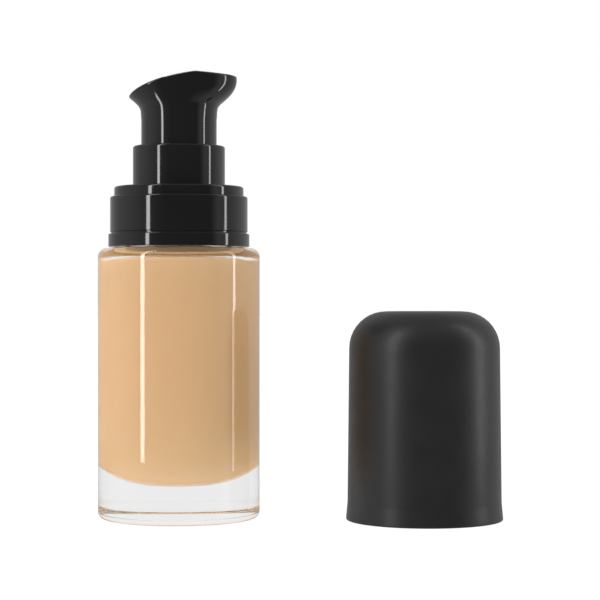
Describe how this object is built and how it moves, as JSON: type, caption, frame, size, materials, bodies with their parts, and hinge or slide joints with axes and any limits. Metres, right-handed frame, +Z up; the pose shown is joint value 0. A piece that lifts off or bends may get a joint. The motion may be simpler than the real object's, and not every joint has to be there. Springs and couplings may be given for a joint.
{
  "type": "foundation bottle",
  "caption": "Round clear glass foundation bottle with a glossy black treatment pump and a domed matte black over-cap standing beside it.",
  "frame": {"origin": "centre of the bottle's foot ring, on the surface that it stands on", "axes": "+Z up along the bottle's axis, -X towards the pump's spout, +X towards the over-cap that stands beside the bottle, -Y towards the viewer"},
  "size_m": [0.0899, 0.0394, 0.0989],
  "materials": {
    "clear_glass": "clear, polished",
    "foundation": "opaque liquid",
    "soft_seal": "soft, satin",
    "natural_plastic": "natural polypropylene",
    "steel": "drawn wire, polished ball",
    "gloss_black": "high gloss",
    "matte_black": "soft matte",
    "liner_black": "moulded satin"
  },
  "bodies": {
    "bottle": {"glass_bottle": "clear_glass", "foundation_liquid": "foundation"},
    "pump": {"neck_gasket": "soft_seal", "pump_housing": "natural_plastic", "housing_retainer": "natural_plastic", "dip_tube": "natural_plastic", "return_spring": "steel"},
    "collar": {"screw_closure": "gloss_black", "collar_shell": "gloss_black", "actuator_guide": "gloss_black"},
    "valve_ball": {"check_ball": "steel"},
    "plunger": {"piston_rod": "natural_plastic", "stem_tube": "natural_plastic"},
    "seal_piston": {"piston": "soft_seal"},
    "head": {"actuator": "gloss_black"},
    "cap": {"cap_shell": "matte_black", "cap_liner": "liner_black"}
  },
  "joints": [
    {"name": "pump_rise", "type": "slide", "parent": "bottle", "child": "pump", "axis": [0, 0, 1], "range_m": [0, 0.004]},
    {"name": "closure_turn", "type": "hinge", "parent": "pump", "child": "collar", "pos_m": [0, 0, 0.0655], "axis": [0, 0, 1], "range_deg": [0, 450]},
    {"name": "ball_lift", "type": "slide", "parent": "pump", "child": "valve_ball", "axis": [0, 0, 1], "range_m": [0, 0.0014]},
    {"name": "pump_stroke", "type": "slide", "parent": "pump", "child": "plunger", "axis": [0, 0, -1], "range_m": [0, 0.005], "stiffness_N_per_m": 2000, "springref_m": -0.0025, "deforming": ["return_spring"]},
    {"name": "piston_float", "type": "slide", "parent": "plunger", "child": "seal_piston", "axis": [0, 0, 1], "range_m": [0, 0.0008]},
    {"name": "head_swivel", "type": "hinge", "parent": "plunger", "child": "head", "pos_m": [0, 0, 0.085], "axis": [0, 0, 1], "continuous": true},
    {"name": "cap_lift", "type": "slide", "parent": "bottle", "child": "cap", "axis": [0, 0, 1], "range_m": [0, 0.11]}
  ],
  "couplings": [
    {"joint": "pump_rise", "follows": "closure_turn", "m_per_rad": 0.00050532}
  ]
}
